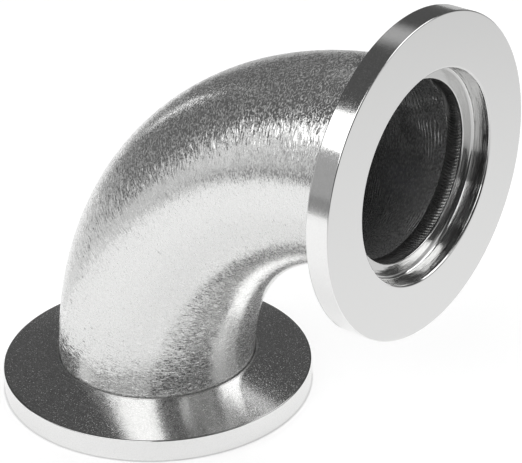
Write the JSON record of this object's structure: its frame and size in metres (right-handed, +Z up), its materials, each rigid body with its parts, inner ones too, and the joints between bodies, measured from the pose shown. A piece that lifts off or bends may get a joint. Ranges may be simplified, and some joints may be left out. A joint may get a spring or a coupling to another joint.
{
  "type": "vacuum elbow",
  "caption": "Right-angle vacuum elbow: a bent steel tube with a clamp flange welded to each end, each with a recess for a centring ring.",
  "frame": {"origin": "centre of the lower flange's sealing face, which the elbow stands on", "axes": "+Z up the lower port's axis, +X out along the side port's axis, Y square to the plane of the bend"},
  "size_m": [0.062, 0.04, 0.062],
  "materials": {
    "tube_steel": "finely brushed across the tube, satin",
    "flange_steel": "turned and polished",
    "weld_steel": "fused, finely rippled"
  },
  "bodies": {
    "root": {"elbow_tube": "tube_steel", "lower_flange": "flange_steel", "side_flange": "flange_steel", "lower_weld_bead": "weld_steel", "side_weld_bead": "weld_steel"}
  },
  "joints": []
}
